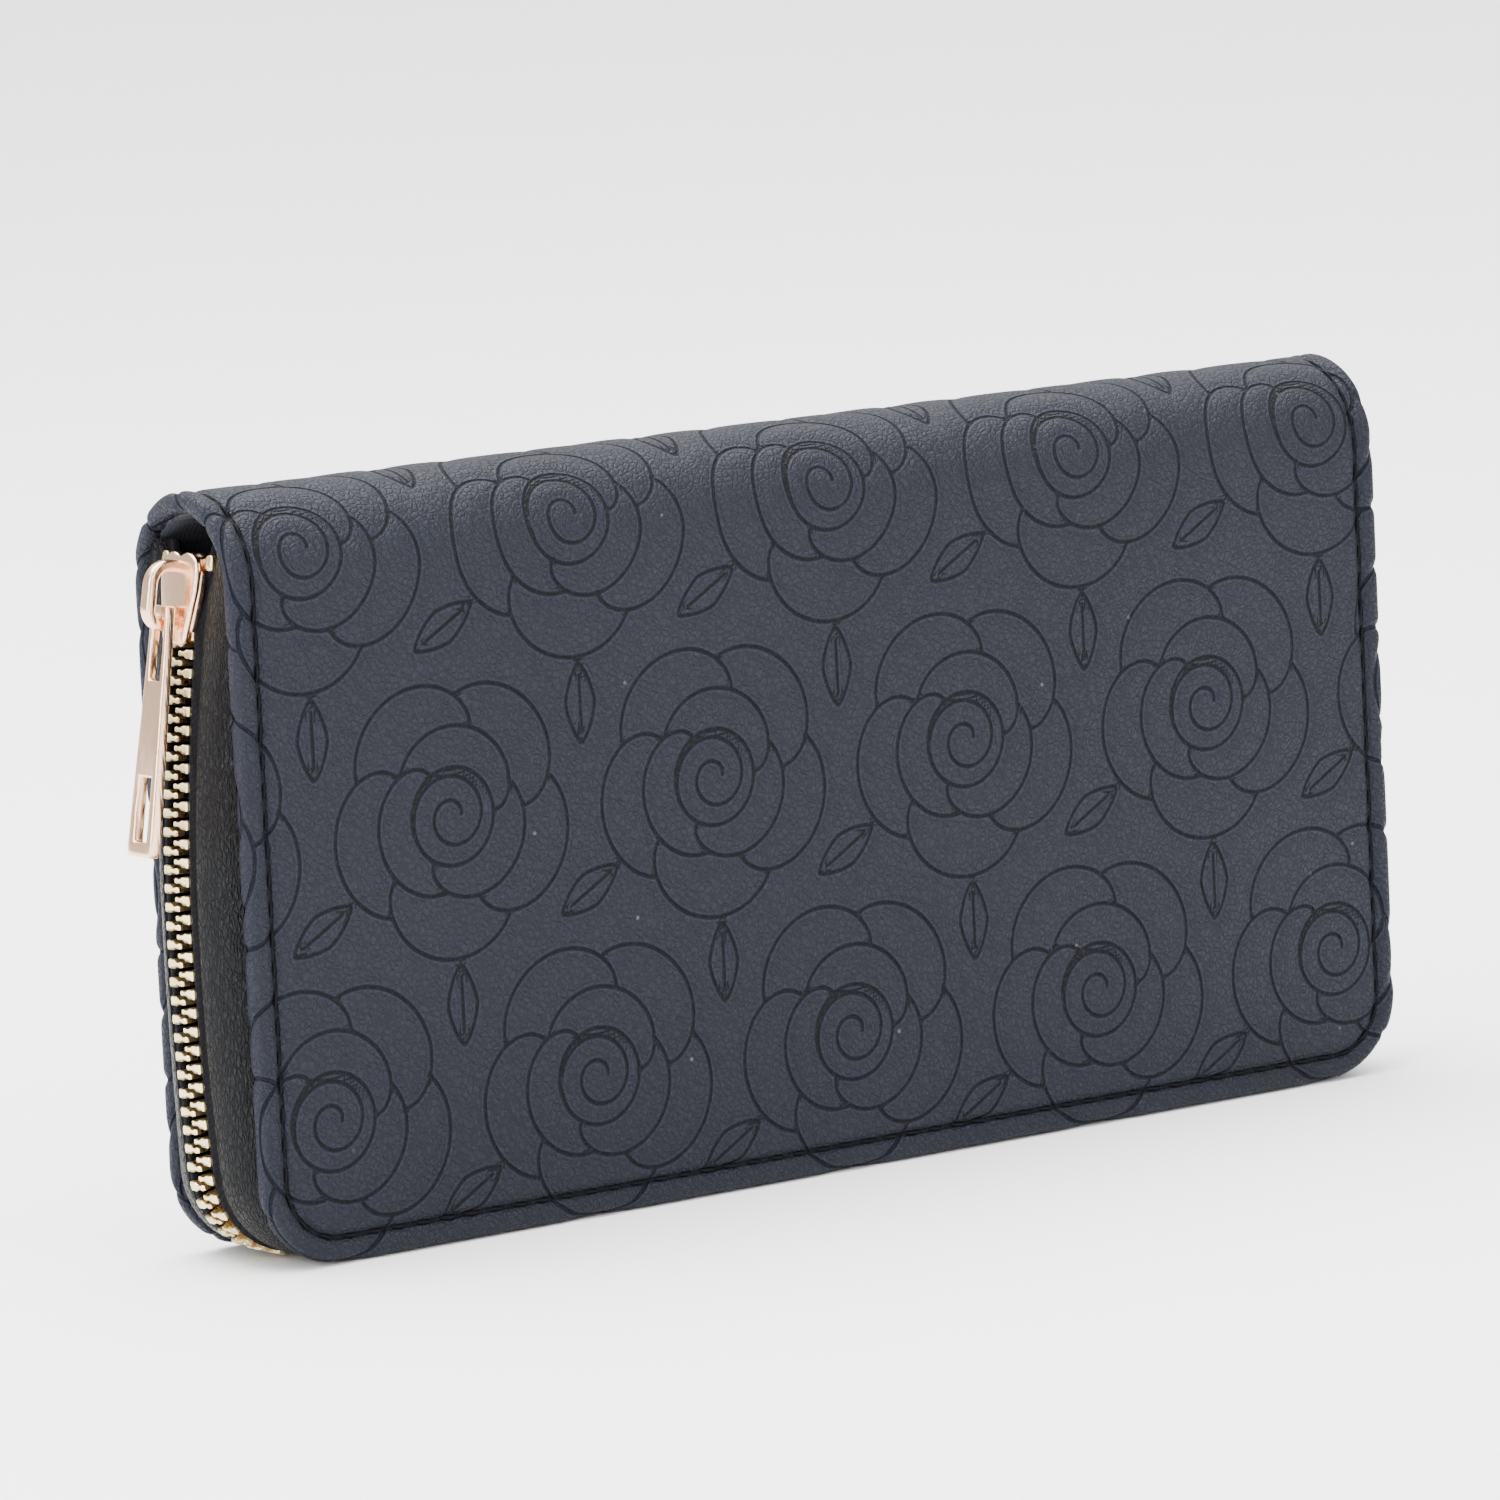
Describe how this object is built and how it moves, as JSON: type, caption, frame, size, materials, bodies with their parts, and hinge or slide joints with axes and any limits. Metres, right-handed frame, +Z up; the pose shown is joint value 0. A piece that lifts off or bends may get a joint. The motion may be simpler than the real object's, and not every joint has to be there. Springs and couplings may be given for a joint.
{
  "type": "zip around wallet",
  "caption": "Long zip-around wallet with rose-embossed covers, a rounded spine, and a hanging metal puller; it opens along its spine onto card strips and a zipped coin leaf.",
  "frame": {"origin": "middle of the back cover's lower edge, on its outer face, where the closed wallet stands on its zipped edge", "axes": "+X along the spine's length (the slider is at the -X end), the front cover faces -Y, +Z up towards the spine"},
  "size_m": [0.2024, 0.0234, 0.1],
  "materials": {
    "outer_leather": "embossed, satin",
    "inner_leather": "smooth, satin",
    "gusset_leather": "pebbled, satin",
    "lining_fabric": "woven",
    "stiffener_board": "matte",
    "spine_foam": "matte",
    "thread": "twisted",
    "zip_tape": "woven",
    "zip_metal": "polished",
    "coil_plastic": "semi-gloss",
    "rose_gold_metal": "polished rose gold"
  },
  "bodies": {
    "back_half": {"cover_back": "outer_leather", "board_back": "stiffener_board", "spine_pad_back": "spine_foam", "lining_back": "lining_fabric", "bill_panel_back": "lining_fabric", "card_strip_back_1": "inner_leather", "card_strip_back_2": "inner_leather", "card_strip_back_3": "inner_leather", "card_strip_back_4": "inner_leather", "gusset_back": "gusset_leather", "zip_tape_back": "zip_tape", "zip_teeth_back": "zip_metal", "stitching_back": "thread", "top_stop_back": "zip_metal", "bottom_stop": "zip_metal"},
    "front_half": {"cover_front": "outer_leather", "board_front": "stiffener_board", "spine_pad_front": "spine_foam", "lining_front": "lining_fabric", "bill_panel_front": "lining_fabric", "card_strip_front_1": "inner_leather", "card_strip_front_2": "inner_leather", "card_strip_front_3": "inner_leather", "card_strip_front_4": "inner_leather", "gusset_front": "gusset_leather", "zip_tape_front": "zip_tape", "zip_teeth_front": "zip_metal", "stitching_front": "thread", "top_stop_front": "zip_metal"},
    "coin_leaf": {"coin_wall_back": "inner_leather", "coin_wall_front": "inner_leather", "coin_bag": "lining_fabric", "leaf_binding": "inner_leather", "leaf_hinge_strip": "lining_fabric", "coin_tape_back": "zip_tape", "coin_tape_front": "zip_tape", "coin_coil_back": "coil_plastic", "coin_coil_front": "coil_plastic", "coin_top_stop": "zip_metal", "coin_bottom_stop": "zip_metal"},
    "zip_slider": {"slider_body": "rose_gold_metal", "slider_bail": "rose_gold_metal"},
    "zip_pull": {"zip_puller": "rose_gold_metal"},
    "coin_zip_slider": {"coin_slider": "rose_gold_metal", "coin_bail": "rose_gold_metal"},
    "coin_zip_pull": {"coin_puller": "rose_gold_metal"}
  },
  "joints": [
    {"name": "cover_open", "type": "hinge", "parent": "back_half", "child": "front_half", "pos_m": [0, -0.0117, 0.1], "axis": [-1, 0, 0], "range_deg": [0, 110], "deforming": ["zip_teeth_back", "zip_teeth_front", "zip_tape_back", "zip_tape_front"]},
    {"name": "leaf_turn", "type": "hinge", "parent": "back_half", "child": "coin_leaf", "pos_m": [0, -0.0117, 0.1], "axis": [-1, 0, 0], "range_deg": [0, 55]},
    {"name": "slider_travel", "type": "hinge", "parent": "back_half", "child": "zip_slider", "pos_m": [0.1626, -0.0117, 0.042], "axis": [0, -1, 0], "range_deg": [0, 11.8]},
    {"name": "puller_swing", "type": "hinge", "parent": "zip_slider", "child": "zip_pull", "pos_m": [-0.09789, -0.0117, 0.08529], "axis": [0, 1, 0], "range_deg": [0, 150]},
    {"name": "coin_slider_travel", "type": "slide", "parent": "coin_leaf", "child": "coin_zip_slider", "axis": [1, 0, 0], "range_m": [0, 0.14], "deforming": ["coin_coil_back", "coin_coil_front", "coin_tape_back", "coin_tape_front"]},
    {"name": "coin_puller_swing", "type": "hinge", "parent": "coin_zip_slider", "child": "coin_zip_pull", "pos_m": [-0.07, -0.0117, 0.0139], "axis": [0, 1, 0], "range_deg": [-85, 85]}
  ],
  "couplings": [
    {"joint": "leaf_turn", "follows": "cover_open", "ratio": 0.5}
  ]
}
